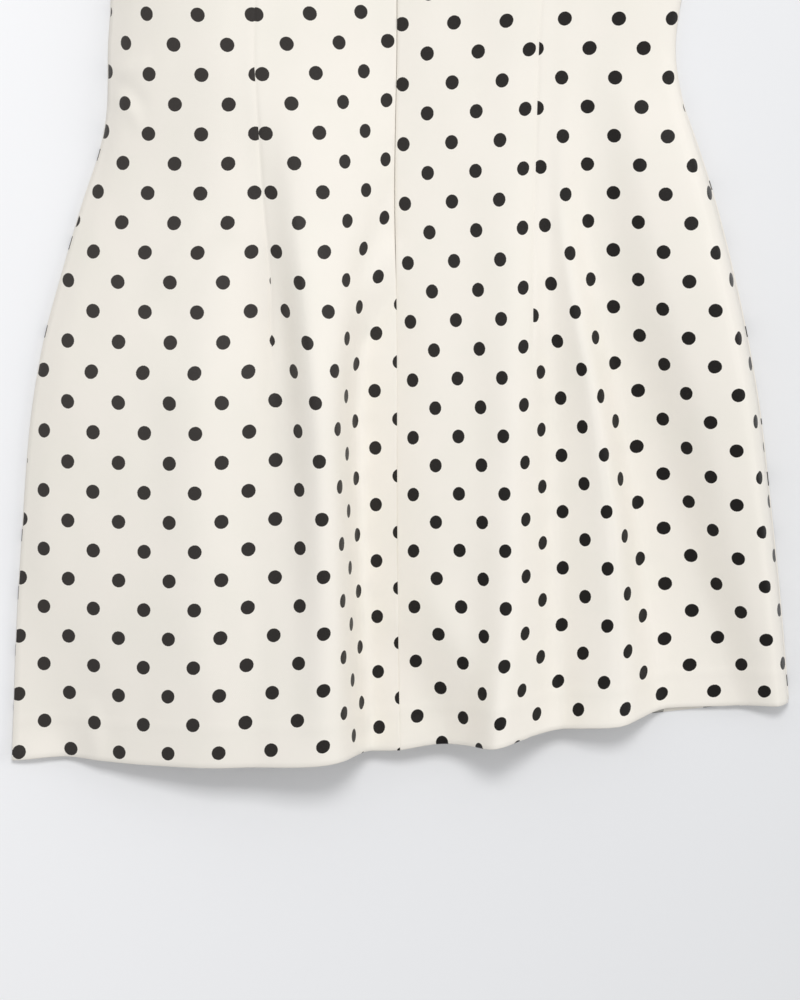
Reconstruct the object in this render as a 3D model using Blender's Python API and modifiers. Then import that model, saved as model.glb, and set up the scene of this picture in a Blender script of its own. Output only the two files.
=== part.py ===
"""A sleeveless bodycon mini dress of crisp cotton sateen, laid flat on its front with its back up.

The back is two panels joined at a centre seam, which holds a concealed zip from the neck to the
hip. The front is one panel under them, flat on the surface. The skirt of the back stands in long
soft folds: each fold is a line from the waist to the hem, and every cross-section of a panel is a
smooth curve through the lines. X is across the dress, +Y runs from hem to neck, +Z is up.
"""

import math

import bpy
import numpy as np
from mathutils import Matrix

MM = 0.001

# Cloth and seams
WALL = 1.5 * MM
SEAM_GAP = 0.3 * MM
FRONT_EDGE_CLEAR = 0.42 * MM
FRONT_CURL_WIDTH = 30 * MM
WELD = 0.02 * MM

# Lengths along the dress, from the waist
HEM_BELOW = 430 * MM
FRONT_HEM_SHORTER = 2 * MM
UNDERARM = 190 * MM
SHOULDER_TIP = 378 * MM
NECK_POINT = 400 * MM
NECK_HALF_WIDTH = 92 * MM
BACK_NECK_BASE = 352 * MM
FRONT_NECK_BASE = 290 * MM
BACK_NECK_STARTS = 0.72
FRONT_NECK_STARTS = 0.40

# Zip in the centre-back seam
ZIP_BELOW_WAIST = 130 * MM
TAPE_HALF_WIDTH = 9 * MM
TAPE_WALL = 1.0 * MM
TAPE_COLUMNS = (-1, 0, 1)
TAPE_SAMPLES = 7
TAPE_PAST_NECK = 2 * MM
SLIDER_FROM_NECK = 9 * MM
SLIDER = dict(width=4.6 * MM, length=9.0 * MM, height=1.8 * MM, soften=0.2 * MM)
BRIDGE = dict(width=1.6 * MM, length=6.0 * MM, height=3.4 * MM, wall=0.9 * MM)
PULL = dict(bar=0.9 * MM, eye_inside=2.6 * MM, eye_length=3.6 * MM, width=6.0 * MM, length=22.0 * MM)
EYE_STRAIGHT = 0.9
PULL_DROOP = math.radians(6.5)

# Rows of the grids: skirt rows are even, bodice rows crowd round the underarm and the neck
SKIRT_ROWS = 22
BODICE_ROWS_MM = (0, 28, 60, 95, 130, 162, 190, 196, 210, 234, 266, 298, 326, 342, 356, 368, 378)

# Silhouette: mm below the waist (minus is above it), x of the left and of the right edge in mm
OUTLINE_MM = (
    (-378, -180, 180),
    (-352, -170, 170),
    (-320, -166, 166),
    (-280, -168, 168),
    (-240, -178, 178),
    (-210, -193, 193),
    (-196, -205, 205),
    (-190, -213, 213),
    (-150, -205, 204),
    (-90, -185, 184),
    (-30, -170.5, 166),
    (0, -172.5, 162.5),
    (30, -172.8, 167),
    (55, -176.5, 175.5),
    (90, -188, 186.5),
    (130, -200, 196.5),
    (180, -213.5, 207),
    (230, -221.5, 215),
    (285, -226, 221),
    (350, -230.5, 227.5),
    (430, -234, 234),
)

# Where the fold lines are measured, in mm below the waist
X_LEVELS_MM = dict(waist=0, high_hip=85, hip=150, low_hip=215, thigh=310, hem=430)
Z_LEVELS_MM = dict(shoulder=-378, bust=-130, **X_LEVELS_MM)

# Each fold line: x in mm at X_LEVELS_MM, height in mm at Z_LEVELS_MM, how far the hem is drawn up
# in mm, and how many grid columns lead to the next line. None takes the silhouette's x.
LEFT_FOLDS = dict(
    side=(None, (3.4, 3.6, 3.6, 3.8, 3.8, 3.8, 3.8, 3.6), 1.5, 3),
    roll=((-159, -173, -191, -204, -213.5, -206), (3.6, 17, 17, 12, 12, 13, 12, 6), 4.5, 2),
    plain=((-133, -145, -148, -151, -153, -163), (3.6, 32, 28, 20, 22.5, 28.5, 31, 22), 3, 2),
    swell=((-105, -108, -110, -113, -113, -112), (3.6, 36, 32, 26, 30, 38.5, 42, 40), 4, 2),
    dip=((-95, -91, -87, -87, -87, -86), (3.6, 34.5, 30.5, 24.5, 27.5, 37, 41, 44), 5.5, 1),
    dart=((-86, -81, -76, -76, -75, -74.5), (3.6, 33, 29, 23, 25, 34.5, 42.5, 47.5), 6, 1),
    valley=((-82, -78, -72, -67.5, -63.5, -64), (3.6, 32, 28, 24, 26, 36.5, 45, 50), 6.5, 2),
    crest=((-65, -61, -55, -49, -45.5, -45), (3.6, 27, 25, 31, 44, 55, 55.5, 53), 8, 2),
    brow=((-38, -32, -36.5, -38, -36, -34.5), (3.6, 19, 18, 24, 38, 49, 51, 48), 9.5, 4),
    foot=((-16.5, -8, -17, -24.5, -23, -17.5), (3.5, 9, 8.3, 12.6, 13, 12.8, 12.8, 11.5), 9.5, 2),
    seam=((-1.8, -3.2, -2.1, -1.8, -1.5, 0), (3.5, 7, 6.2, 9.3, 13, 16.3, 18, 16), 11, 0),
)
RIGHT_FOLDS = dict(
    seam=((-1.8, -3.2, -2.1, -1.8, -1.5, 0), (3.5, 7, 6.2, 9.3, 13, 16.3, 18, 16), 11, 2),
    step=((1.7, 1.3, 2.6, 2.9, 3.2, 5), (3.5, 7.5, 6.8, 10.6, 14.8, 18.2, 20, 17), 12, 2),
    rise=((17.7, 17.8, 17.8, 17.8, 18, 22), (3.6, 9, 9.1, 13, 18, 22, 25, 19), 15, 2),
    lull=((42, 42, 42, 43, 43, 38), (3.6, 10, 10.2, 15, 20.5, 25.2, 29.2, 29), 16, 2),
    crest=((68, 68, 67, 66, 66, 57), (3.6, 11, 12, 18, 26, 31.5, 36.5, 50), 17.5, 2),
    dart=((82, 80, 79, 79, 80, 75.5), (3.6, 11, 9.8, 14, 20.5, 24, 26.5, 35), 21, 2),
    hollow=((90, 88, 88.5, 91, 93, 97), (3.6, 10.5, 9, 12, 14.5, 13.5, 15, 17.5), 24, 1),
    shelf=((94, 91.8, 98, 107, 111, 112), (3.6, 10, 9, 12.7, 18, 19.5, 21, 25), 26, 1),
    ridge=((98.5, 95, 103, 115.5, 128, 132), (3.6, 10, 9, 14, 21, 24.5, 27.5, 30), 27.5, 3),
    foot=((112, 110, 119, 131, 146, 161.5), (3.6, 9, 8.2, 8, 8, 6, 5, 5.5), 34, 1),
    flat=((118, 121, 128, 144, 168, 203), (3.6, 9, 8.5, 9, 9, 7.5, 6.5, 6.5), 35.5, 3),
    bulge=((133, 147, 162, 180, 201, 224.5), (3.6, 9, 9.5, 18, 25, 27, 25, 17), 37, 2),
    rim=((156, 179, 195, 207, 218, 228.5), (3.6, 8, 8.5, 22, 29.5, 31.5, 28, 17.5), 37, 3),
    side=(None, (3.4, 3.6, 3.8, 6.5, 11, 11.5, 9, 5.6), 37, 0),
)
FRONT_COLUMNS = (0, 0.035, 0.08, 0.15, 0.40, 0.70, 1)

# name: colour, roughness, metallic
MATERIALS = dict(
    sateen=((0.86, 0.82, 0.75, 1), 0.45, 0.0),
    tape=((0.78, 0.74, 0.67, 1), 0.85, 0.0),
    zip_metal=((0.80, 0.78, 0.74, 1), 0.35, 0.6),
)


def smooth_curve(xs, ys):
    """A smooth function through the points that never swings past them."""
    xs, ys = np.asarray(xs, float), np.asarray(ys, float)
    step = np.diff(xs)
    slope = np.diff(ys) / step
    tangent = np.empty(len(xs))
    tangent[0], tangent[-1] = slope[0], slope[-1]
    for i in range(1, len(xs) - 1):
        before, after = slope[i - 1], slope[i]
        if before * after <= 0:
            tangent[i] = 0
        else:
            tangent[i] = 2 * before * after / (before + after)

    def value(x):
        x = np.clip(np.asarray(x, float), xs[0], xs[-1])
        i = np.clip(np.searchsorted(xs, x, side="right") - 1, 0, len(step) - 1)
        t = (x - xs[i]) / step[i]
        rise = 3 * t**2 - 2 * t**3
        return (
            ys[i] * (1 - rise)
            + ys[i + 1] * rise
            + step[i] * tangent[i] * t * (1 - t) ** 2
            - step[i] * tangent[i + 1] * t**2 * (1 - t)
        )

    return value


def through(levels, values):
    """A curve of values in mm at named levels, read with metres below the waist."""
    order = sorted(range(len(values)), key=lambda i: list(levels.values())[i])
    heights = [list(levels.values())[i] * MM for i in order]
    return smooth_curve(heights, [values[i] * MM for i in order])


EDGE_LEFT = smooth_curve([row[0] * MM for row in OUTLINE_MM], [row[1] * MM for row in OUTLINE_MM])
EDGE_RIGHT = smooth_curve([row[0] * MM for row in OUTLINE_MM], [row[2] * MM for row in OUTLINE_MM])


def row_heights():
    """Metres below the waist of each row, from the hem to the shoulder."""
    skirt = [HEM_BELOW * (1 - i / SKIRT_ROWS) for i in range(SKIRT_ROWS)]
    bodice = [-mm * MM for mm in BODICE_ROWS_MM]
    return skirt + bodice


def neck_end(below, base, starts, seam_x, side):
    """Inner end of a bodice row: up the centre, then along the neck curve to the shoulder."""
    share = (-below - UNDERARM) / (SHOULDER_TIP - UNDERARM)
    if share <= 0:
        return seam_x, -below
    if share <= starts:
        return seam_x, UNDERARM + (base - UNDERARM) * share / starts
    turn = (share - starts) / (1 - starts) * math.pi / 2
    x = seam_x * math.cos(turn) + side * NECK_HALF_WIDTH * math.sin(turn)
    return x, base + (NECK_POINT - base) * (1 - math.cos(turn))


class Section:
    """One row of a back panel: points across it, left to right, and curves through them."""

    def __init__(self, folds, side, below):
        edge = EDGE_LEFT if side < 0 else EDGE_RIGHT
        skirt = max(below, 0)
        xs = [edge(skirt) if f[0] is None else through(X_LEVELS_MM, f[0])(skirt) for f in folds.values()]
        xs = np.array(xs, float)
        zs = np.array([through(Z_LEVELS_MM, f[1])(below) for f in folds.values()])
        lift = np.array([f[2] * MM for f in folds.values()]) * (skirt / HEM_BELOW) ** 2
        ys = lift - skirt
        if below < 0:
            outer = xs[0] if side < 0 else xs[-1]
            inner = xs[-1] if side < 0 else xs[0]
            share = (xs - outer) / (inner - outer)
            x_in, y_in = neck_end(below, BACK_NECK_BASE, BACK_NECK_STARTS, inner, side)
            xs = edge(below) + (x_in - edge(below)) * share
            ys = -below + (y_in + below) * share
        self.xs = xs
        self.height = smooth_curve(xs, zs)
        self.along = smooth_curve(xs, ys)

    def points(self, xs):
        xs = np.asarray(xs, float)
        return np.stack([xs, self.along(xs), self.height(xs)], axis=1)


def back_section(side, below):
    return Section(LEFT_FOLDS if side < 0 else RIGHT_FOLDS, side, below)


def back_grid(side):
    """Rows of points of a back panel, its seam edge set back by half the seam gap."""
    folds = LEFT_FOLDS if side < 0 else RIGHT_FOLDS
    counts = [f[3] for f in folds.values()][:-1]
    rows = []
    for below in row_heights():
        section = back_section(side, below)
        xs = section.xs.copy()
        if side < 0:
            xs[-1] -= SEAM_GAP / 2
        else:
            xs[0] += SEAM_GAP / 2
        columns = [a + (b - a) * k / n for a, b, n in zip(xs, xs[1:], counts) for k in range(n)]
        rows.append(section.points(columns + [xs[-1]]))
    return np.array(rows)


def front_half(side, rows_of_back):
    """Half of the front: flat, and rising near its edge to meet the back's side seam."""
    rows = []
    for below, row in zip(row_heights(), rows_of_back):
        edge_x, edge_y, edge_z = row[0] if side < 0 else row[-1]
        centre_x, centre_y = neck_end(below, FRONT_NECK_BASE, FRONT_NECK_STARTS, 0, side)
        if below >= 0:
            middle = back_section(side, below)
            centre_y = float(middle.along(middle.xs[-1 if side < 0 else 0]))
        points = []
        for share in FRONT_COLUMNS:
            x = edge_x + (centre_x - edge_x) * share
            y = edge_y + (centre_y - edge_y) * share
            y *= 1 - FRONT_HEM_SHORTER / HEM_BELOW * (y < 0)
            curl = max(0, 1 - abs(x - edge_x) / FRONT_CURL_WIDTH) ** 2
            lift = max(0, edge_z - 2 * WALL - FRONT_EDGE_CLEAR) * curl
            points.append((x, y, WALL + lift))
        rows.append(points if side < 0 else points[::-1])
    return np.array(rows)


def zip_rows():
    """Heights of the tape's rows: the panels' own rows, from the zip's end up to the neck."""
    top = -(UNDERARM + (SHOULDER_TIP - UNDERARM) * BACK_NECK_STARTS)
    heights = [h for h in row_heights() if top < h < ZIP_BELOW_WAIST]
    return [ZIP_BELOW_WAIST] + heights + [top + TAPE_PAST_NECK]


def tape_grid():
    """The tape's upper side: under the seam, level across, clear of the panels' undersides."""
    rows = []
    for below in zip_rows():
        undersides = []
        for side in (-1, 1):
            section = back_section(side, below)
            seam_x = section.xs[-1] if side < 0 else section.xs[0]
            xs = seam_x + side * np.linspace(0, TAPE_HALF_WIDTH, TAPE_SAMPLES)
            slopes = np.gradient(section.height(xs), xs)
            undersides += list(section.height(xs) - (WALL + SEAM_GAP) * np.hypot(1, slopes))
        top = min(undersides)
        along = float(section.along(seam_x))
        rows.append([(seam_x + TAPE_HALF_WIDTH * share, along, top) for share in TAPE_COLUMNS])
    return np.array(rows)


def new_material(name):
    colour, roughness, metallic = MATERIALS[name]
    material = bpy.data.materials.new(name)
    material.use_nodes = True
    shader = material.node_tree.nodes["Principled BSDF"]
    shader.inputs["Base Color"].default_value = colour
    shader.inputs["Roughness"].default_value = roughness
    shader.inputs["Metallic"].default_value = metallic
    return material


def add_object(name, mesh, material, collection):
    item = bpy.data.objects.new(name, mesh)
    mesh.materials.append(material)
    collection.objects.link(item)
    return item


def sheet_mesh(name, grids):
    """A mesh of one or two grids of points; grids that share points are welded there."""
    points, faces, index = [], [], {}
    for grid in grids:
        numbers = []
        for row in grid:
            line = []
            for point in row:
                key = tuple(int(round(value / WELD)) for value in point)
                if key not in index:
                    index[key] = len(points)
                    points.append(tuple(float(value) for value in point))
                line.append(index[key])
            numbers.append(line)
        for low, high in zip(numbers, numbers[1:]):
            for a, b, c, d in zip(low, low[1:], high[1:], high):
                faces.append((a, b, c, d))
    mesh = bpy.data.meshes.new(name)
    mesh.from_pydata(points, [], faces)
    mesh.shade_smooth()
    return mesh


def add_sheet(name, grids, wall, material, collection):
    """Cloth: an open surface made solid on its underside."""
    item = add_object(name, sheet_mesh(name, grids), material, collection)
    solid = item.modifiers.new("wall", "SOLIDIFY")
    solid.thickness = wall
    solid.offset = -1
    solid.use_even_offset = True
    return item


def outline_curve(name, loops, thickness, material, collection):
    """A flat plate from closed outlines in X and Y; the first is its edge, the rest are holes."""
    curve = bpy.data.curves.new(name, "CURVE")
    curve.dimensions = "2D"
    curve.fill_mode = "BOTH"
    curve.extrude = thickness / 2
    for loop in loops:
        spline = curve.splines.new("POLY")
        spline.points.add(len(loop) - 1)
        spline.use_cyclic_u = True
        for point, (x, y) in zip(spline.points, loop):
            point.co = (x, y, 0, 1)
    item = bpy.data.objects.new(name, curve)
    curve.materials.append(material)
    collection.objects.link(item)
    weld = item.modifiers.new("weld", "WELD")
    weld.merge_threshold = 0.00001
    return item


def box(width, length, low, high):
    """Corners and faces of a block centred on X and Y."""
    x, y = width / 2, length / 2
    corners = [(a, b, c) for c in (low, high) for a, b in ((-x, -y), (x, -y), (x, y), (-x, y))]
    faces = [(3, 2, 1, 0), (4, 5, 6, 7), (0, 1, 5, 4), (1, 2, 6, 5), (2, 3, 7, 6), (3, 0, 4, 7)]
    return corners, faces


def add_slider(place, material, collection, cutters):
    """The slider's body with the bridge that holds the pull's bar, as one solid."""
    corners, faces = box(SLIDER["width"], SLIDER["length"], 0, SLIDER["height"])
    mesh = bpy.data.meshes.new("zip_slider")
    mesh.from_pydata(corners, [], faces)
    slider = add_object("zip_slider", mesh, material, collection)
    slider.location = place

    top = SLIDER["height"] + BRIDGE["height"]
    corners, faces = box(BRIDGE["width"], BRIDGE["length"], SLIDER["height"] / 2, top)
    bridge_mesh = bpy.data.meshes.new("bridge")
    bridge_mesh.from_pydata(corners, [], faces)
    bridge = bpy.data.objects.new("bridge", bridge_mesh)
    cutters.objects.link(bridge)

    hole_top = top - BRIDGE["wall"]
    corners, faces = box(BRIDGE["width"] * 2, BRIDGE["length"] - 2 * BRIDGE["wall"], SLIDER["height"], hole_top)
    hole_mesh = bpy.data.meshes.new("bridge_hole")
    hole_mesh.from_pydata(corners, [], faces)
    hole = bpy.data.objects.new("bridge_hole", hole_mesh)
    cutters.objects.link(hole)

    for tool, operation in ((bridge, "UNION"), (hole, "DIFFERENCE")):
        tool.location = place
        tool.hide_render = True
        tool.display_type = "WIRE"
        step = slider.modifiers.new(operation.lower(), "BOOLEAN")
        step.operation = operation
        step.solver = "EXACT"
        step.object = tool
    soften = slider.modifiers.new("soften", "BEVEL")
    soften.width = SLIDER["soften"]
    soften.segments = 2
    soften.limit_method = "ANGLE"
    return slider


def add_pull(axis_place, material, collection):
    """A drop-shaped tab; its eye's end bar runs through the bridge, on the hinge's axis."""
    bar = PULL["bar"]
    half_eye = PULL["eye_inside"] / 2
    eye_end = -bar / 2 - PULL["eye_length"]
    shoulder = half_eye + bar
    belly = PULL["width"] / 2
    centre = -PULL["length"] + belly
    arc = [math.radians(a) for a in range(0, -181, -20)]
    edge = [(shoulder, bar / 2), (-shoulder, bar / 2), (-shoulder, eye_end * EYE_STRAIGHT)]
    edge += [(belly * -math.cos(a), centre + belly * math.sin(a)) for a in arc]
    edge += [(shoulder, eye_end * EYE_STRAIGHT)]
    eye = [(-half_eye, -bar / 2), (half_eye, -bar / 2), (half_eye, eye_end), (-half_eye, eye_end)]
    pull = outline_curve("zip_pull", [edge[::-1], eye], bar, material, collection)
    pull.matrix_world = Matrix.Translation(axis_place) @ Matrix.Rotation(PULL_DROOP, 4, "X")
    return pull


def shift_to_base(grids):
    """Move every grid so that the middle of the whole footprint is on the origin."""
    everything = np.concatenate([grid.reshape(-1, 3) for grid in grids])
    middle = (everything.min(axis=0) + everything.max(axis=0)) / 2
    offset = np.array([middle[0], middle[1], 0])
    return [grid - offset for grid in grids], offset


def main():
    for item in list(bpy.data.objects):
        bpy.data.objects.remove(item, do_unlink=True)
    dress = bpy.data.collections.new("bodycon_mini_dress")
    cutters = bpy.data.collections.new("cutters")
    bpy.context.scene.collection.children.link(dress)
    bpy.context.scene.collection.children.link(cutters)
    sateen, tape, metal = (new_material(name) for name in MATERIALS)

    left, right = back_grid(-1), back_grid(1)
    front_left, front_right = front_half(-1, left), front_half(1, right)
    grids, offset = shift_to_base([left, right, front_left, front_right, tape_grid()])
    left, right, front_left, front_right, tape_rows = grids

    add_sheet("back_left", [left], WALL, sateen, dress)
    add_sheet("back_right", [right], WALL, sateen, dress)
    add_sheet("front", [front_left, front_right], WALL, sateen, dress)
    add_sheet("zip_tape", [tape_rows], TAPE_WALL, tape, dress)

    slider_height = BACK_NECK_BASE - SLIDER_FROM_NECK
    share = (slider_height - UNDERARM) / (BACK_NECK_BASE - UNDERARM) * BACK_NECK_STARTS
    section = back_section(1, -(UNDERARM + (SHOULDER_TIP - UNDERARM) * share))
    seam_x = float(section.xs[0])
    cloth = float(section.height(seam_x + SLIDER["width"] / 2))
    place = np.array([seam_x, slider_height, cloth + SEAM_GAP]) - offset
    add_slider(place, metal, dress, cutters)
    axis_height = SLIDER["height"] + (BRIDGE["height"] - BRIDGE["wall"]) / 2
    add_pull(place + np.array([0, 0, axis_height]), metal, dress)


main()
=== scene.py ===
"""Looks of a sleeveless bodycon mini dress of ivory dotted cotton sateen, laid flat with its back up.

The two back panels and the front are thin cloth shells on a fine grid. Their form is the fold table
of the part's own source, on which the small creases, the seams, the darts and the hem are laid.
The dots are a printed lattice in the cloth's own millimetres, cut by the darts and the seam.
"""

import math

import bpy
import numpy as np
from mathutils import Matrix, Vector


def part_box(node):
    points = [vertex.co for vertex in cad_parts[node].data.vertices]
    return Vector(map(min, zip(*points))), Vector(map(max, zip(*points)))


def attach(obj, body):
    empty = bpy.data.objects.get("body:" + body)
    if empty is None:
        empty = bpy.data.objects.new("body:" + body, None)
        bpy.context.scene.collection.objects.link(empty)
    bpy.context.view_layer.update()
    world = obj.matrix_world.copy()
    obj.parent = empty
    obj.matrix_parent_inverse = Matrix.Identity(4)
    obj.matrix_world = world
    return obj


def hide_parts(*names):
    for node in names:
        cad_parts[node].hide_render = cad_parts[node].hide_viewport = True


MM = 0.001
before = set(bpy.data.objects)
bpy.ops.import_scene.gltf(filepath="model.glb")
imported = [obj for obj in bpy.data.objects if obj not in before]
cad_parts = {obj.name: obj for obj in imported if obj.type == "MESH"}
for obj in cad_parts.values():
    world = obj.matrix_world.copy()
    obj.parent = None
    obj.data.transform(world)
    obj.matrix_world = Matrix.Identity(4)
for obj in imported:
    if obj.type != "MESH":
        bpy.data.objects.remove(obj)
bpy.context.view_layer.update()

# ---------------------------------------------------------------- form, as in the part's source
HEM = 430.0
UNDERARM = 190.0
SHOULDER_TIP = 378.0
NECK_POINT = 400.0
NECK_HALF_WIDTH = 92.0
BACK_NECK = dict(base=352.0, starts=0.72)
FRONT_NECK = dict(base=290.0, starts=0.40)
FRONT_HEM_SHORTER = 2.0
ZIP_END = 130.0
SEAM_GAP = 0.3
WALL = 1.5
FRONT_EDGE_CLEAR = 0.42
FRONT_CURL_WIDTH = 30.0
FRONT_HEM_LIFT = 11.0
HIP_LEVEL = 215
DART_TOP, DART_FOOT = -130, 195

OUTLINE = (
    (-378, -180, 180),
    (-352, -170, 170),
    (-320, -166, 166),
    (-280, -168, 168),
    (-240, -178, 178),
    (-210, -193, 193),
    (-196, -205, 205),
    (-190, -213, 213),
    (-150, -205, 204),
    (-90, -185, 184),
    (-30, -170.5, 166),
    (0, -172.5, 162.5),
    (30, -172.8, 167),
    (55, -176.5, 175.5),
    (90, -188, 186.5),
    (130, -200, 196.5),
    (180, -213.5, 207),
    (230, -221.5, 215),
    (285, -226, 221),
    (350, -230.5, 227.5),
    (430, -234, 234),
)
X_LEVELS = (0, 85, 150, 215, 310, 430)
Z_LEVELS = (-378, -130, 0, 85, 150, 215, 310, 430)

# name: x at X_LEVELS, height at shoulder, bust and X_LEVELS, how far the hem is drawn up
LEFT_FOLDS = dict(
    side=(None, (3.4, 3.6, 3.6, 3.8, 3.8, 3.8, 3.8, 3.6), 1.5),
    roll=((-159, -173, -191, -204, -213.5, -206), (3.6, 17, 17, 12, 12, 13, 12, 6), 4.5),
    plain=((-133, -145, -148, -151, -153, -163), (3.6, 32, 28, 20, 22.5, 28.5, 31, 22), 3),
    swell=((-105, -108, -110, -113, -113, -112), (3.6, 36, 32, 26, 30, 38.5, 42, 40), 4),
    dip=((-95, -91, -87, -87, -87, -86), (3.6, 34.5, 30.5, 24.5, 27.5, 37, 41, 44), 5.5),
    dart=((-86, -81, -76, -76, -75, -74.5), (3.6, 33, 29, 23, 25, 34.5, 42.5, 47.5), 6),
    valley=((-82, -78, -72, -67.5, -63.5, -64), (3.6, 32, 28, 24, 26, 36.5, 45, 50), 6.5),
    crest=((-65, -61, -55, -49, -45.5, -45), (3.6, 27, 25, 31, 44, 55, 55.5, 53), 8),
    brow=((-38, -32, -36.5, -38, -36, -34.5), (3.6, 19, 18, 24, 38, 49, 51, 48), 9.5),
    foot=((-16.5, -8, -17, -24.5, -23, -17.5), (3.5, 9, 8.3, 12.6, 13, 12.8, 12.8, 11.5), 9.5),
    seam=((-1.8, -3.2, -2.1, -1.8, -1.5, 0), (3.5, 7, 6.2, 9.3, 13, 16.3, 18, 16), 11),
)
RIGHT_FOLDS = dict(
    seam=((-1.8, -3.2, -2.1, -1.8, -1.5, 0), (3.5, 7, 6.2, 9.3, 13, 16.3, 18, 16), 11),
    step=((1.7, 1.3, 2.6, 2.9, 3.2, 5), (3.5, 7.5, 6.8, 10.6, 14.8, 18.2, 20, 17), 12),
    rise=((17.7, 17.8, 17.8, 17.8, 18, 22), (3.6, 9, 9.1, 13, 18, 22, 25, 19), 15),
    lull=((42, 42, 42, 43, 43, 38), (3.6, 10, 10.2, 15, 20.5, 25.2, 29.2, 29), 16),
    crest=((68, 68, 67, 66, 66, 57), (3.6, 11, 12, 18, 26, 31.5, 36.5, 50), 17.5),
    dart=((82, 80, 79, 79, 80, 75.5), (3.6, 11, 9.8, 14, 20.5, 24, 26.5, 35), 21),
    hollow=((90, 88, 88.5, 91, 93, 97), (3.6, 10.5, 9, 12, 14.5, 13.5, 15, 17.5), 24),
    shelf=((94, 91.8, 98, 107, 111, 112), (3.6, 10, 9, 12.7, 18, 19.5, 21, 25), 26),
    ridge=((98.5, 95, 103, 115.5, 128, 132), (3.6, 10, 9, 14, 21, 24.5, 27.5, 30), 27.5),
    foot=((112, 110, 119, 131, 146, 161.5), (3.6, 9, 8.2, 8, 8, 6, 5, 5.5), 34),
    flat=((118, 121, 128, 144, 168, 203), (3.6, 9, 8.5, 9, 9, 7.5, 6.5, 6.5), 35.5),
    bulge=((133, 147, 162, 180, 201, 224.5), (3.6, 9, 9.5, 18, 25, 27, 25, 17), 37),
    rim=((156, 179, 195, 207, 218, 228.5), (3.6, 8, 8.5, 22, 29.5, 31.5, 28, 17.5), 37),
    side=(None, (3.4, 3.6, 3.8, 6.5, 11, 11.5, 9, 5.6), 37),
)

# ---------------------------------------------------------------- cloth, in mm
CLOTH = 0.9
HEM_EXTRA = 0.5
HEM_DEPTH = 26.0
FOLD_BLUR = 2.6
RIM_ROUNDING = 0.45
ROW_STEP = 3.0
COLUMN_STEP = 2.8
DART_COLUMNS = (-2.6, -1.6, -0.8, 0.8, 1.5, 2.2)
SEAM_COLUMNS = (0.35, 0.8, 1.4, 2.3)

DOT = 8.5
DOT_COLUMN = 16.0
DOT_ROW = 35.3

# the print on each back panel, in mm, as pairs of a level below the waist and a value. first: from the
# centre seam to the first column of dots. dart: what the dart takes in. slack: what the laid cloth has
# gathered, whole from slack_by of the panel's width on. seam_down and side_down: how far the rows sink at
# the seam and, whole from lean_by of the width on, towards the side. row: the level of the first dot.
LEFT_PRINT = dict(
    first=((-400, 5.6), (0, 5.6), (100, 8.5), (135, 13), (200, 15), (430, 15)),
    row=-5.0,
    dart=((-130, 0), (-45, 30), (14, 28), (60, 25), (110, 18), (155, 9), (195, 0)),
    slack=((-45, -3), (30, 6), (100, 11), (200, 6), (310, 8), (430, 9)),
    slack_by=0.2,
    seam_down=((-45, 0), (200, 2.5), (430, 3.5)),
    side_down=((-45, 0), (155, -1), (250, -4), (430, -7)),
    lean_by=0.9,
)
RIGHT_PRINT = dict(
    first=((-400, 3), (0, 3), (200, 11.7), (430, 11.7)),
    row=-15.4,
    dart=((-130, 0), (-45, 30), (14, 26), (60, 21), (110, 15), (155, 8), (195, 0)),
    slack=((-45, 0), (30, 10), (100, 18), (200, 27), (310, 21), (430, 10)),
    slack_by=0.6,
    seam_down=((-45, 0), (200, -2)),
    side_down=((-45, 3), (100, 5), (200, 3), (310, -2), (430, -12)),
    lean_by=0.55,
)


def smooth_curve(xs, ys):
    """A smooth function through the points that never swings past them."""
    xs, ys = np.asarray(xs, float), np.asarray(ys, float)
    step = np.diff(xs)
    slope = np.diff(ys) / step
    tangent = np.empty(len(xs))
    tangent[0], tangent[-1] = slope[0], slope[-1]
    for i in range(1, len(xs) - 1):
        before, after = slope[i - 1], slope[i]
        tangent[i] = 0 if before * after <= 0 else 2 * before * after / (before + after)

    def value(x):
        x = np.clip(np.asarray(x, float), xs[0], xs[-1])
        i = np.clip(np.searchsorted(xs, x, side="right") - 1, 0, len(step) - 1)
        t = (x - xs[i]) / step[i]
        rise = 3 * t**2 - 2 * t**3
        return (
            ys[i] * (1 - rise)
            + ys[i + 1] * rise
            + step[i] * tangent[i] * t * (1 - t) ** 2
            - step[i] * tangent[i + 1] * t**2 * (1 - t)
        )

    return value


def ramp(pairs):
    return lambda x: np.interp(x, [p[0] for p in pairs], [p[1] for p in pairs])


EDGE_LEFT = smooth_curve([row[0] for row in OUTLINE], [row[1] for row in OUTLINE])
EDGE_RIGHT = smooth_curve([row[0] for row in OUTLINE], [row[2] for row in OUTLINE])


def neck_end(below, neck, seam_x, side):
    """Inner end of a bodice row: up the centre, then along the neck curve to the shoulder."""
    share = (-below - UNDERARM) / (SHOULDER_TIP - UNDERARM)
    if share <= 0:
        return seam_x, -below
    if share <= neck["starts"]:
        return seam_x, UNDERARM + (neck["base"] - UNDERARM) * share / neck["starts"]
    turn = (share - neck["starts"]) / (1 - neck["starts"]) * math.pi / 2
    x = seam_x * math.cos(turn) + side * NECK_HALF_WIDTH * math.sin(turn)
    return x, neck["base"] + (NECK_POINT - neck["base"]) * (1 - math.cos(turn))


def fold_curves(folds, side):
    edge = EDGE_LEFT if side < 0 else EDGE_RIGHT
    xs = [edge if f[0] is None else smooth_curve(X_LEVELS, f[0]) for f in folds.values()]
    zs = [smooth_curve(Z_LEVELS, f[1]) for f in folds.values()]
    return xs, zs, np.array([f[2] for f in folds.values()], float)


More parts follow.
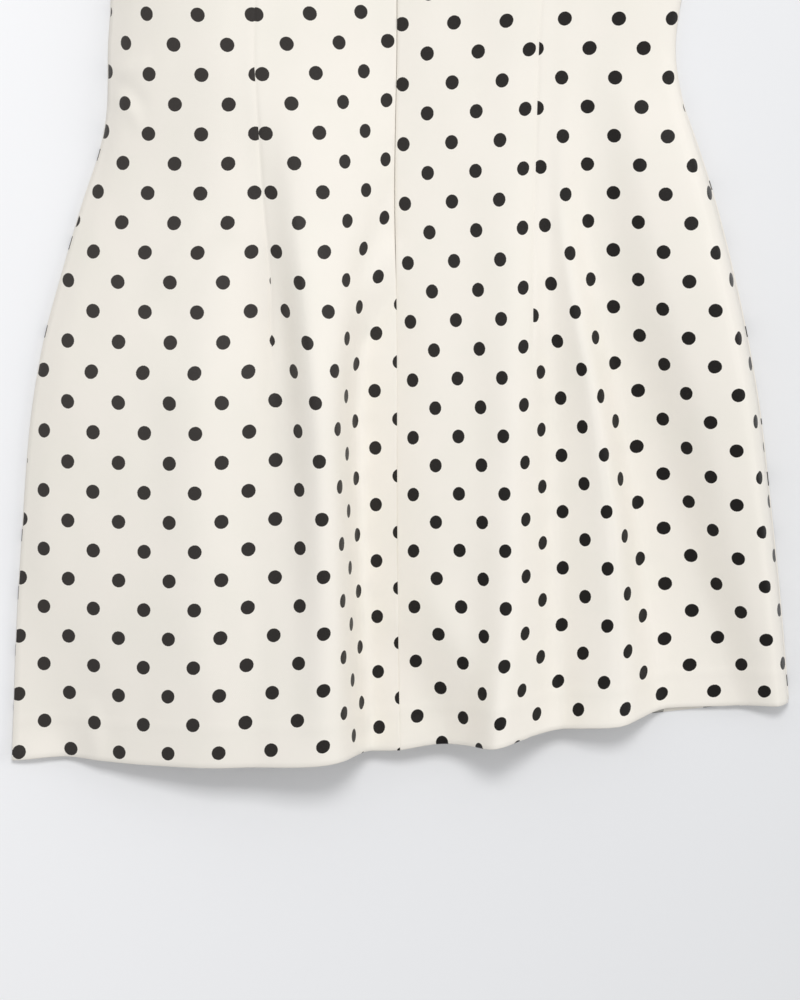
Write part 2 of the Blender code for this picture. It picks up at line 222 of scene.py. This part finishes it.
class Row:
    """One row of a back panel: where its fold lines are, and smooth curves through them."""

    def __init__(self, curves, side, below):
        x_curves, z_curves, hem_lift = curves
        edge = EDGE_LEFT if side < 0 else EDGE_RIGHT
        skirt = max(below, 0)
        self.skirt_xs = np.array([float(c(skirt)) for c in x_curves])
        xs = self.skirt_xs
        ys = hem_lift * (skirt / HEM) ** 2 - skirt
        outer, inner = (xs[0], xs[-1]) if side < 0 else (xs[-1], xs[0])
        self.outer, self.inner = outer, inner
        self.end = (float(edge(below)), -below, inner, -below)
        if below < 0:
            x_in, y_in = neck_end(below, BACK_NECK, inner, side)
            self.end = (float(edge(below)), -below, x_in, y_in)
        self.lift = smooth_curve(xs, ys)
        self.height = smooth_curve(xs, np.array([float(c(below)) for c in z_curves]))
        self.below = below

    def points(self, xs):
        """Points of the row at skirt positions xs; in the bodice they spread from armhole to neck."""
        even = np.arange(self.skirt_xs[0], self.skirt_xs[-1] + 0.5, 1.0)
        z = np.interp(xs, even, blurred(self.height(even), FOLD_BLUR, 0))
        if self.below >= 0:
            y = np.interp(xs, even, blurred(self.lift(even), 2 * FOLD_BLUR, 0))
            return np.stack([xs, y, z], axis=1)
        share = (xs - self.outer) / (self.inner - self.outer)
        x0, y0, x1, y1 = self.end
        return np.stack([x0 + (x1 - x0) * share, y0 + (y1 - y0) * share, z], axis=1)


def row_heights():
    skirt = np.linspace(HEM, 0, int(HEM / ROW_STEP) + 1)
    bodice = -np.linspace(0, SHOULDER_TIP, int(SHOULDER_TIP / ROW_STEP) + 1)[1:]
    return np.concatenate([skirt, bodice])


def column_plan(folds, side):
    """How many columns lead from each break to the next; breaks are fold lines and the extra ones."""
    names = list(folds)
    curves = fold_curves(folds, side)[0]
    breaks = []
    for name, curve in zip(names, curves):
        if name == "seam":
            extra = [side * off for off in (0, *SEAM_COLUMNS)]
        elif name == "dart":
            extra = [0, *DART_COLUMNS]
        else:
            extra = [0]
        breaks += [(curve, off, name) for off in extra]
    at_hip = [float(c(HIP_LEVEL)) + off for c, off, _ in breaks]
    order = np.argsort(at_hip)
    breaks = [breaks[i] for i in order]
    at_hip = np.sort(at_hip)
    counts = [max(1, int(round((b - a) / COLUMN_STEP))) for a, b in zip(at_hip, at_hip[1:])]
    for i, (a, b) in enumerate(zip(at_hip, at_hip[1:])):
        if b - a > 6:
            counts[i] = max(counts[i], 3)
    return breaks, counts


def blurred(field, reach, axis):
    """A blur along one axis of an even grid, reach in steps, with the ends held where they are."""
    steps = int(3 * reach) + 1
    weights = np.exp(-0.5 * (np.arange(-steps, steps + 1) / reach) ** 2)
    weights /= weights.sum()
    field = np.moveaxis(field, axis, 0)
    start, end = field[:1], field[-1:]
    before, after = 2 * start - field[steps:0:-1], 2 * end - field[-2 : -steps - 2 : -1]
    padded = np.concatenate([before, field, after])
    out = sum(w * padded[i : i + len(field)] for i, w in enumerate(weights))
    return np.moveaxis(out, 0, axis)


# ---------------------------------------------------------------- creases, listed one by one
# points as (x, mm below the waist), height (minus for a trough) and half width in mm
BACK_CREASES = (
    (((-100, 105), (-122, 132), (-146, 165)), -1.6, 9),
    (((-112, 96), (-134, 124), (-158, 150)), 0.8, 8),
    (((-174, 12), (-158, 10), (-146, 4)), 1.3, 4.5),
    (((-172, 26), (-160, 34), (-152, 48)), 1.2, 4),
    (((-171, 18), (-160, 22), (-148, 34)), -1.3, 4),
    (((-6, 74), (-14, 108), (-27, 140)), -1.8, 4.5),
    (((-2, 112), (-15, 137), (-29, 164)), 3.0, 8),
    (((-1, 138), (-12, 160), (-26, 188)), -1.4, 4),
    (((12, 322), (34, 366), (58, 424)), 3.0, 13),
    (((-6, 350), (9, 386), (30, 430)), -2.8, 12),
    (((-28, 430), (0, 432), (28, 430)), 4.5, 19),
    (((84, 434), (112, 434), (142, 432)), 3.6, 16),
    (((-240, 436), (-222, 434), (-202, 432)), 3.4, 14),
    (((-186, 392), (-184, 416), (-182, 444)), 2.2, 7),
)


def crease_field(x, d, creases):
    """Sum of soft ridges and troughs along short smooth lines that fade at both ends."""
    total = np.zeros_like(x)
    for points, height, width in creases:
        pts = np.array(points, float)
        t = np.linspace(0, 1, len(pts))
        fine = np.linspace(0, 1, 4 * (len(pts) - 1) + 1)
        cx, cd = smooth_curve(t, pts[:, 0])(fine), smooth_curve(t, pts[:, 1])(fine)
        near = np.full(x.shape, 1e9)
        where = np.zeros(x.shape)
        for i in range(len(fine) - 1):
            ax, ad, bx, bd = cx[i], cd[i], cx[i + 1], cd[i + 1]
            vx, vd = bx - ax, bd - ad
            s = np.clip(((x - ax) * vx + (d - ad) * vd) / (vx * vx + vd * vd + 1e-9), 0, 1)
            dist = np.hypot(x - ax - s * vx, d - ad - s * vd)
            closer = dist < near
            near = np.where(closer, dist, near)
            where = np.where(closer, fine[i] + s * (fine[i + 1] - fine[i]), where)
        fade = np.clip(np.sin(np.pi * np.clip(where, 0, 1)), 0, 1) ** 0.8
        total += height * np.exp(-((near / width) ** 2)) * fade
    return total


def uneven(x, d, seed):
    """Broad shallow unevenness, longer down the cloth than across it, in mm."""
    rng = np.random.default_rng(seed)
    total = np.zeros_like(x)
    for _ in range(26):
        across, down = rng.uniform(28, 70), rng.uniform(60, 190)
        angle = rng.uniform(-0.35, 0.35)
        phase = rng.uniform(0, 2 * math.pi)
        u = x * math.cos(angle) + d * math.sin(angle)
        v = d * math.cos(angle) - x * math.sin(angle)
        total += np.sin(2 * math.pi * u / across + phase) * np.sin(2 * math.pi * v / down + phase * 1.7)
    return total / 26**0.5


# ---------------------------------------------------------------- meshes
def grid_quads(number):
    """Quads between neighbouring points of a grid of point numbers, and each corner's row and column."""
    rows, columns = np.indices(number.shape)
    corners = ((0, 0), (0, 1), (1, 1), (1, 0))
    r, c = rows[:-1, :-1].ravel(), columns[:-1, :-1].ravel()
    at = [(r + dr, c + dc) for dr, dc in corners]
    quads = np.stack([number[i, j] for i, j in at], axis=1)
    return quads, np.stack([i for i, _ in at], axis=1), np.stack([j for _, j in at], axis=1)


def cloth_shell(name, points, quads, corner_uv, thick, face_up, materials):
    """A closed thin shell: the upper skin given by points and quads, an under skin and a round rim.

    points are in mm, corner_uv is the print's coordinate at each quad's corners, materials are
    (face, reverse), and the face is on top where face_up.
    """
    count = len(points)
    a, b, c, d = (points[quads[:, k]] for k in range(4))
    normal_of = np.cross(c - a, d - b)
    normal = np.zeros_like(points)
    for k in range(4):
        np.add.at(normal, quads[:, k], normal_of)
    normal /= np.linalg.norm(normal, axis=1, keepdims=True)
    if normal[:, 2].mean() < 0:
        normal = -normal
        quads, corner_uv = quads[:, ::-1], corner_uv[:, ::-1]
    under = points - normal * thick[:, None]

    ends = np.stack([quads, np.roll(quads, -1, axis=1)], axis=2).reshape(-1, 2)
    corner = np.arange(len(ends))
    key = np.sort(ends, axis=1)
    _, first, times = np.unique(key, axis=0, return_index=True, return_counts=True)
    open_ends = first[times == 1]
    rim_from, rim_to = ends[open_ends, 0], ends[open_ends, 1]
    uv = corner_uv.reshape(-1, 2)
    next_corner = corner // 4 * 4 + (corner + 1) % 4
    uv_from, uv_to = uv[corner[open_ends]], uv[next_corner[open_ends]]

    centre = (a + b + c + d) / 4
    out = np.zeros_like(points)
    for k in range(4):
        np.add.at(out, quads[:, k], points[quads[:, k]] - centre)
    rim_points = np.unique(np.concatenate([rim_from, rim_to]))
    out = out[rim_points]
    out /= np.linalg.norm(out, axis=1, keepdims=True)
    middle = (points[rim_points] + under[rim_points]) / 2 + out * thick[rim_points, None] * RIM_ROUNDING
    mid_number = np.zeros(count, int)
    mid_number[rim_points] = 2 * count + np.arange(len(rim_points))

    upper = np.stack([rim_to, rim_from, mid_number[rim_from], mid_number[rim_to]], axis=1)
    lower = np.stack([mid_number[rim_to], mid_number[rim_from], rim_from + count, rim_to + count], axis=1)
    faces = np.concatenate([quads, quads[:, ::-1] + count, upper, lower])
    rim_uv = np.stack([uv_to, uv_from, uv_from, uv_to], axis=1)
    all_uv = np.concatenate([corner_uv, corner_uv[:, ::-1], rim_uv, rim_uv])
    vertices = np.concatenate([points, under, middle]) * MM

    mesh = bpy.data.meshes.new(name)
    mesh.from_pydata(vertices.tolist(), [], faces.tolist())
    layer = mesh.uv_layers.new(name="print")
    layer.data.foreach_set("uv", all_uv.astype(np.float32).ravel())
    for material in materials:
        mesh.materials.append(material)
    index = np.zeros(len(faces), np.int32)
    index[len(quads) : 2 * len(quads)] = 1
    if not face_up:
        index[: 2 * len(quads)] = 1 - index[: 2 * len(quads)]
    mesh.polygons.foreach_set("material_index", index)
    mesh.shade_smooth()
    item = bpy.data.objects.new(name, mesh)
    bpy.context.scene.collection.objects.link(item)
    return item


HEIGHTS = row_heights()
OFFSET_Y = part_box("front")[1].y / MM - NECK_POINT


def zipped_share(below):
    """1 beside the zip, 0 below its end, and the change between them."""
    return np.clip((ZIP_END + 12 - below) / 24, 0, 1)


def back_panel(side):
    """The panel's points, length from the seam, level below the waist, thickness, and its dart's column."""
    folds = LEFT_FOLDS if side < 0 else RIGHT_FOLDS
    curves = fold_curves(folds, side)
    breaks, counts = column_plan(folds, side)
    names = [b[2] + ("" if b[1] == 0 else "*") for b in breaks]
    dart_column = sum(counts[: names.index("dart")])
    grid, skirt_x = [], []
    for below in HEIGHTS:
        row = Row(curves, side, below)
        skirt = max(below, 0)
        at = np.array([float(c(skirt)) + off for c, off, _ in breaks])
        gap = SEAM_GAP * (0.3 + 0.7 * float(zipped_share(below)))
        if side < 0:
            at[-1] -= gap / 2
        else:
            at[0] += gap / 2
        spans = [np.linspace(a, b, n, endpoint=False) for a, b, n in zip(at, at[1:], counts)]
        xs = np.append(np.concatenate(spans), at[-1])
        grid.append(row.points(xs))
        skirt_x.append(xs)
    grid, skirt_x = np.array(grid), np.array(skirt_x)
    below = np.repeat(HEIGHTS[:, None], grid.shape[1], axis=1)
    grid[..., 2] = blurred(grid[..., 2], 2.5, 0)
    grid[..., 0] = blurred(grid[..., 0], 2.0, 0)

    step = np.linalg.norm(np.diff(grid, axis=1), axis=2)
    length = np.concatenate([np.zeros((len(grid), 1)), np.cumsum(step, axis=1)], axis=1)
    u = length[:, -1:] - length if side < 0 else length

    from_seam = np.abs(skirt_x - skirt_x[:, -1:]) if side < 0 else np.abs(skirt_x - skirt_x[:, :1])
    zipped = zipped_share(below)
    roll_depth, roll_width = 0.14 + 0.60 * zipped, 0.9 + 0.7 * zipped
    grid[..., 2] -= roll_depth * np.clip(1 - from_seam / roll_width, 0, 1) ** 2

    dart_x = skirt_x[:, dart_column : dart_column + 1]
    dart_fade = np.clip((DART_FOOT - below) / 30, 0, 1) * np.clip((below - DART_TOP) / 20, 0, 1)
    grid[..., 2] -= 0.55 * np.exp(-(((skirt_x - dart_x) / 0.9) ** 2)) * dart_fade
    grid[..., 2] += 0.30 * np.exp(-(((np.abs(skirt_x - dart_x) - 3.5) / 2.6) ** 2)) * dart_fade

    from_hem = HEM - below
    grid[..., 2] += 0.35 * np.exp(-(((from_hem - HEM_DEPTH + 2) / 2.5) ** 2))
    grid[..., 2] += crease_field(grid[..., 0], below, BACK_CREASES)
    calm = np.clip((grid[..., 2] - 3.0) / 6, 0, 1)
    grid[..., 2] += 0.30 * uneven(grid[..., 0], below, 5 if side < 0 else 9) * calm
    thick = np.where(from_hem < HEM_DEPTH, CLOTH + HEM_EXTRA, CLOTH)
    return grid, u, below, thick, dart_column


def level_print(u, below, grid):
    """Above the underarm the rows slant and begin along the neck, but the print goes on straight."""
    inner = np.argmin(u[0])
    run = grid[:, -1] - grid[:, 0]
    slant = np.abs(run[:, 0]) / np.hypot(run[:, 0], run[:, 1])
    at_waist = np.argmin(np.abs(below[:, 0]))
    start = np.abs(grid[:, inner, 0] - grid[at_waist, inner, 0])
    armhole = below < -UNDERARM
    straight = u * slant[:, None] + start[:, None]
    return np.where(armhole, straight, u), np.where(armhole, -grid[..., 1], below)


def print_coordinates(u, below, plan):
    """Columns of dots from the seam, and rows down, both counted from the first dot."""
    share = u / u.max(axis=1, keepdims=True)
    slack = ramp(plan["slack"])(below) * np.clip(share / plan["slack_by"], 0, 1)
    lean = np.clip(share / plan["lean_by"], 0, 1)
    across = u - ramp(plan["first"])(below) + slack
    sunk = ramp(plan["seam_down"])(below) * (1 - lean) + ramp(plan["side_down"])(below) * lean
    down = below - plan["row"] + sunk
    return across / DOT_COLUMN, down / DOT_ROW


# ---------------------------------------------------------------- materials
def new_material(name):
    material = bpy.data.materials.new(name)
    material.use_nodes = True
    tree = material.node_tree
    return material, tree, tree.nodes["Principled BSDF"]


def math_node(tree, operation, a, b=None, clamp=False):
    node = tree.nodes.new("ShaderNodeMath")
    node.operation = operation
    node.use_clamp = clamp
    for socket, value in zip(node.inputs, (a, b)):
        if value is None:
            continue
        if isinstance(value, (int, float)):
            socket.default_value = value
        else:
            tree.links.new(value, socket)
    return node.outputs[0]


def map_range(tree, value, low, high, to_low=0.0, to_high=1.0, smooth=True):
    node = tree.nodes.new("ShaderNodeMapRange")
    node.interpolation_type = "SMOOTHSTEP" if smooth else "LINEAR"
    tree.links.new(value, node.inputs["Value"])
    node.inputs["From Min"].default_value = low
    node.inputs["From Max"].default_value = high
    node.inputs["To Min"].default_value = to_low
    node.inputs["To Max"].default_value = to_high
    return node.outputs["Result"]


def mix_colour(tree, factor, a, b):
    node = tree.nodes.new("ShaderNodeMix")
    node.data_type = "RGBA"
    node.blend_type = "MIX"
    for socket, value in zip((node.inputs[0], node.inputs[6], node.inputs[7]), (factor, a, b)):
        if isinstance(value, (int, float, tuple)):
            socket.default_value = value
        else:
            tree.links.new(value, socket)
    return node.outputs[2]


def noise(tree, vector, scale, detail=2.0, roughness=0.5):
    node = tree.nodes.new("ShaderNodeTexNoise")
    node.inputs["Scale"].default_value = scale
    node.inputs["Detail"].default_value = detail
    node.inputs["Roughness"].default_value = roughness
    tree.links.new(vector, node.inputs["Vector"])
    return node.outputs["Fac"]


def object_position(tree):
    return tree.nodes.new("ShaderNodeTexCoord").outputs["Object"]


def weave(tree, vector, thread_mm):
    """Height of a sateen's surface: long warp floats that step sideways from thread to thread."""
    split = tree.nodes.new("ShaderNodeSeparateXYZ")
    tree.links.new(vector, split.inputs[0])
    x = math_node(tree, "MULTIPLY", split.outputs[0], DOT_COLUMN / thread_mm)
    y = math_node(tree, "MULTIPLY", split.outputs[1], DOT_ROW / thread_mm)
    thread = math_node(tree, "SINE", math_node(tree, "MULTIPLY", x, 2 * math.pi))
    step = math_node(tree, "MULTIPLY", math_node(tree, "FLOOR", x), 0.4)
    along = math_node(tree, "ADD", math_node(tree, "MULTIPLY", y, 0.2), step)
    float_ = math_node(tree, "SINE", math_node(tree, "MULTIPLY", along, 2 * math.pi))
    thread, float_ = math_node(tree, "MULTIPLY", thread, 0.6), math_node(tree, "MULTIPLY", float_, 0.4)
    return math_node(tree, "ADD", thread, float_)


CLOTH_COLOUR = (0.905, 0.858, 0.780, 1)
CLOTH_WARM = (0.888, 0.849, 0.766, 1)
# one ink, lit at the left of the dress and darkened by painted shade at the right; the reverse's two inks
# likewise
INK_LIT_LEFT = (0.046, 0.040, 0.036, 1)
INK_SHADED_RIGHT = (0.0045, 0.003, 0.002, 1)
REVERSE_COLOUR = (0.86, 0.82, 0.74, 1)
REVERSE_INKS = ((0.52, 0.50, 0.46, 1), (0.50, 0.48, 0.44, 1))


def cloth_material(name, base, inks):
    """Sateen with the printed dots; inks are one ink's lit colour at the left and its colour in painted shade
    at the right of the dress.
    """
    material, tree, shader = new_material(name)
    uv = tree.nodes.new("ShaderNodeUVMap")
    uv.uv_map = "print"
    place = uv.outputs["UV"]
    split = tree.nodes.new("ShaderNodeSeparateXYZ")
    tree.links.new(place, split.inputs[0])
    column, row = split.outputs[0], split.outputs[1]
    scale = tree.nodes.new("ShaderNodeVectorMath")
    scale.operation = "MULTIPLY"
    scale.inputs[1].default_value = (DOT_COLUMN, DOT_ROW, 1)
    tree.links.new(place, scale.inputs[0])
    in_mm = scale.outputs[0]

    broad = noise(tree, in_mm, 0.022, 3.0, 0.55)
    colour = mix_colour(tree, map_range(tree, broad, 0.35, 0.75), base, CLOTH_WARM)
    ragged = math_node(tree, "SUBTRACT", noise(tree, in_mm, 1.4, 3.0), 0.5)
    ragged = math_node(tree, "MULTIPLY", ragged, 0.5)
    nearest = None
    for shift in (0.0, 0.5):  # the two offset rows of the print
        across = math_node(tree, "SUBTRACT", math_node(tree, "MULTIPLY", column, 0.5), shift)
        across = math_node(tree, "SUBTRACT", across, math_node(tree, "ROUND", across))
        down = math_node(tree, "SUBTRACT", row, shift)
        down = math_node(tree, "SUBTRACT", down, math_node(tree, "ROUND", down))
        across = math_node(tree, "MULTIPLY", across, 2 * DOT_COLUMN)
        down = math_node(tree, "MULTIPLY", down, DOT_ROW)
        squares = math_node(
            tree, "ADD", math_node(tree, "MULTIPLY", across, across), math_node(tree, "MULTIPLY", down, down)
        )
        distance = math_node(tree, "SQRT", squares)
        nearest = distance if nearest is None else math_node(tree, "MINIMUM", nearest, distance)
    nearest = math_node(tree, "ADD", nearest, ragged)
    ink = map_range(tree, nearest, DOT / 2 + 0.12, DOT / 2 - 0.12)
    # painted shade on the dots: the ink darkens from the lit ink towards the shaded ink to the right of the
    # dress and lower down, with a little random variation on top
    side = tree.nodes.new("ShaderNodeSeparateXYZ")
    tree.links.new(object_position(tree), side.inputs[0])
    worn = map_range(tree, noise(tree, in_mm, 0.9, 4.0, 0.7), 0.2, 0.8, -0.12, 0.12)
    across = map_range(tree, side.outputs[0], -0.22, 0.14, 0.0, 0.9)
    lower = map_range(tree, side.outputs[1], -0.10, -0.40, 0.0, 0.3)
    tone = math_node(tree, "ADD", math_node(tree, "ADD", across, lower), worn, clamp=True)
    shaded_ink = mix_colour(tree, tone, *inks)
    colour = mix_colour(tree, ink, colour, shaded_ink)
    roughness = math_node(tree, "SUBTRACT", 0.52, math_node(tree, "MULTIPLY", ink, 0.06))
    tree.links.new(roughness, shader.inputs["Roughness"])
    tree.links.new(colour, shader.inputs["Base Color"])
    shader.inputs["Specular IOR Level"].default_value = 0.25
    shader.inputs["Sheen Weight"].default_value = 0.08
    shader.inputs["Sheen Roughness"].default_value = 0.4
    fuzz = noise(tree, in_mm, 2.2, 4.0, 0.65)
    height = math_node(tree, "ADD", weave(tree, place, 0.42), math_node(tree, "MULTIPLY", fuzz, 1.2))
    bump = tree.nodes.new("ShaderNodeBump")
    bump.inputs["Strength"].default_value = 0.22
    bump.inputs["Distance"].default_value = 0.00012
    tree.links.new(height, bump.inputs["Height"])
    tree.links.new(bump.outputs["Normal"], shader.inputs["Normal"])
    return material


def tape_material():
    material, tree, shader = new_material("zip_tape_weave")
    place = object_position(tree)
    wave = tree.nodes.new("ShaderNodeTexWave")
    wave.bands_direction = "Y"
    wave.inputs["Scale"].default_value = 900
    wave.inputs["Distortion"].default_value = 1.5
    tree.links.new(place, wave.inputs["Vector"])
    colour = mix_colour(tree, noise(tree, place, 900), (0.80, 0.76, 0.68, 1), (0.70, 0.66, 0.58, 1))
    tree.links.new(colour, shader.inputs["Base Color"])
    tree.links.new(map_range(tree, noise(tree, place, 400), 0.3, 0.7, 0.78, 0.92), shader.inputs["Roughness"])
    bump = tree.nodes.new("ShaderNodeBump")
    bump.inputs["Strength"].default_value = 0.4
    bump.inputs["Distance"].default_value = 0.0002
    tree.links.new(wave.outputs["Fac"], bump.inputs["Height"])
    tree.links.new(bump.outputs["Normal"], shader.inputs["Normal"])
    return material


def metal_material():
    material, tree, shader = new_material("zip_enamel")
    place = object_position(tree)
    colour = mix_colour(tree, noise(tree, place, 700, 4.0), (0.82, 0.79, 0.72, 1), (0.74, 0.71, 0.65, 1))
    tree.links.new(colour, shader.inputs["Base Color"])
    rough = map_range(tree, noise(tree, place, 1500, 5.0), 0.3, 0.7, 0.24, 0.42)
    tree.links.new(rough, shader.inputs["Roughness"])
    shader.inputs["Metallic"].default_value = 0.35
    bump = tree.nodes.new("ShaderNodeBump")
    bump.inputs["Strength"].default_value = 0.15
    bump.inputs["Distance"].default_value = 0.0001
    tree.links.new(noise(tree, place, 900, 3.0), bump.inputs["Height"])
    tree.links.new(bump.outputs["Normal"], shader.inputs["Normal"])
    return material


FACE = cloth_material("sateen_dotted", CLOTH_COLOUR, (INK_LIT_LEFT, INK_SHADED_RIGHT))
REVERSE = cloth_material("sateen_reverse", REVERSE_COLOUR, REVERSE_INKS)


# ---------------------------------------------------------------- the pieces
def dress(item, node):
    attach(item, "dress")
    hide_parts(node)
    return item


edges, areas, shells = {}, {}, {}
for side, node, plan in ((-1, "back_left", LEFT_PRINT), (1, "back_right", RIGHT_PRINT)):
    grid, u, below, thick, dart_column = back_panel(side)
    print_u, print_v = print_coordinates(*level_print(u, below, grid), plan)
    intake = ramp(plan["dart"])(HEIGHTS) / DOT_COLUMN
    grid[..., 1] += OFFSET_Y
    edges[side] = grid[:, 0] if side < 0 else grid[:, -1]
    number = np.arange(grid.shape[0] * grid.shape[1]).reshape(grid.shape[:2])
    quads, at_row, at_column = grid_quads(number)
    beyond = (at_column.mean(axis=1) > dart_column) == (side > 0)
    corner_uv = np.stack([print_u[at_row, at_column], print_v[at_row, at_column]], axis=2)
    corner_uv[..., 0] += beyond[:, None] * intake[at_row]
    quad = np.cross(grid[1:, 1:] - grid[:-1, :-1], grid[1:, :-1] - grid[:-1, 1:])
    areas[node] = float(np.linalg.norm(quad, axis=2).sum() / 2) * MM * MM
    shell = cloth_shell(
        f"{node}_cloth", grid.reshape(-1, 3), quads, corner_uv, thick.ravel(), True, (FACE, REVERSE)
    )
    shells[node] = dress(shell, node)


def front_half(side):
    """Half of the front: flat on the surface, its edge rising a little to the back's side seam."""
    shares = np.concatenate([np.linspace(0, 0.14, 14, endpoint=False), np.linspace(0.14, 1, 40)])
    rows = []
    for below, (edge_x, edge_y, edge_z) in zip(HEIGHTS, edges[side]):
        centre_x, centre_y = neck_end(below, FRONT_NECK, 0, side)
        if below >= 0:
            centre_y = FRONT_HEM_LIFT * (below / HEM) ** 2 - below
        centre_y += OFFSET_Y
        x = edge_x + (centre_x - edge_x) * shares
        y = edge_y + (centre_y - edge_y) * shares
        if below > 0:
            y = (y - OFFSET_Y) * (1 - FRONT_HEM_SHORTER / HEM) + OFFSET_Y
        curl = np.clip(1 - np.abs(x - edge_x) / FRONT_CURL_WIDTH, 0, 1) ** 2
        z = CLOTH + max(0, edge_z - WALL - CLOTH - FRONT_EDGE_CLEAR) * curl
        rows.append(np.stack([x, y, z], axis=1))
    return np.array(rows)


halves = [front_half(-1), front_half(1)]
count = halves[0].shape[0] * halves[0].shape[1]
left_number = np.arange(count).reshape(halves[0].shape[:2])
right_number = left_number + count
joined = np.linalg.norm(halves[0][:, -1] - halves[1][:, -1], axis=1) < 0.5
right_number[joined, -1] = left_number[joined, -1]
points = np.concatenate([h.reshape(-1, 3) for h in halves])
quads = np.concatenate([grid_quads(left_number)[0], grid_quads(right_number[:, ::-1])[0]])
used, quads_flat = np.unique(quads, return_inverse=True)
points, quads = points[used], quads_flat.reshape(-1, 4)
corners = points[quads]
corner_uv = np.stack([corners[..., 0] / DOT_COLUMN + 0.3, -corners[..., 1] / DOT_ROW + 0.15], axis=2)
a, b, c, d = (points[quads[:, k]] for k in range(4))
areas["front"] = float(np.linalg.norm(np.cross(c - a, d - b), axis=1).sum() / 2) * MM * MM
shell = cloth_shell(
    "front_cloth", points, quads, corner_uv, np.full(len(points), CLOTH), False, (FACE, REVERSE)
)
shells["front"] = dress(shell, "front")

HARDWARE = (("zip_tape", tape_material()), ("zip_slider", metal_material()), ("zip_pull", metal_material()))
for node, material in HARDWARE:
    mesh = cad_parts[node].data
    for i in range(max(1, len(mesh.materials))):
        if len(mesh.materials) <= i:
            mesh.materials.append(material)
        else:
            mesh.materials[i] = material

# ---------------------------------------------------------------- floor, light and camera
# painted light fall-off on the floor: its colour goes from FLOOR_LIGHT to FLOOR_SHADED towards the bottom and
# the right
FLOOR_LIGHT = (0.934, 0.933, 0.940, 1)
FLOOR_SHADED = (0.776, 0.781, 0.790, 1)
floor_mesh = bpy.data.meshes.new("floor")
floor_mesh.from_pydata([(-4, -4, 0), (4, -4, 0), (4, 4, 0), (-4, 4, 0)], [], [(0, 1, 2, 3)])
floor = bpy.data.objects.new("floor", floor_mesh)
floor.location.z = -0.0002
bpy.context.scene.collection.objects.link(floor)
floor_paint, tree, shader = new_material("floor_paint")
split = tree.nodes.new("ShaderNodeSeparateXYZ")
tree.links.new(object_position(tree), split.inputs[0])
down = map_range(tree, split.outputs[1], 0.05, -0.56, 0.0, 0.26, False)
right = map_range(tree, split.outputs[0], -0.24, 0.24, 0.0, 0.62, False)
tone = mix_colour(tree, math_node(tree, "ADD", down, right), FLOOR_LIGHT, FLOOR_SHADED)
tree.links.new(tone, shader.inputs["Base Color"])
shader.inputs["Roughness"].default_value = 0.7
floor_mesh.materials.append(floor_paint)

world = bpy.data.worlds.new("studio")
world.use_nodes = True
world.node_tree.nodes["Background"].inputs["Color"].default_value = (0.97, 0.98, 1.0, 1)
world.node_tree.nodes["Background"].inputs["Strength"].default_value = 0.575
bpy.context.scene.world = world


def softbox(name, place, target, size, watts):
    lamp = bpy.data.lights.new(name, "AREA")
    lamp.shape = "RECTANGLE"
    lamp.size, lamp.size_y = size
    lamp.energy = watts
    item = bpy.data.objects.new(name, lamp)
    item.location = place
    aim = [t - p for t, p in zip(target, place)]
    flat = math.hypot(aim[0], aim[1])
    item.rotation_euler = (math.atan2(flat, -aim[2]), 0, math.atan2(aim[1], aim[0]) - math.pi / 2)
    bpy.context.scene.collection.objects.link(item)
    return item


softbox("key", (0.1, 1.75, 3.6), (0, -0.1, 0), (1.3, 0.9), 69)
softbox("side_fill", (11.2, 1.9, 5.8), (0, -0.1, 0), (8.0, 5.4), 265)

CAMERA_DISTANCE, VIEW_HEIGHT = 3.3, 0.6
camera_data = bpy.data.cameras.new("camera")
camera_data.sensor_fit = "VERTICAL"
camera_data.sensor_height = 36
camera_data.lens = 36 * CAMERA_DISTANCE / VIEW_HEIGHT
camera_data.clip_end = 50
camera = bpy.data.objects.new("camera", camera_data)
camera.location = (0, 0.2696, 3.258)
camera.rotation_euler = (-0.16, 0, 0)
bpy.context.scene.collection.objects.link(camera)
bpy.context.scene.camera = camera
bpy.context.scene.view_settings.view_transform = "Standard"

bpy.context.view_layer.update()
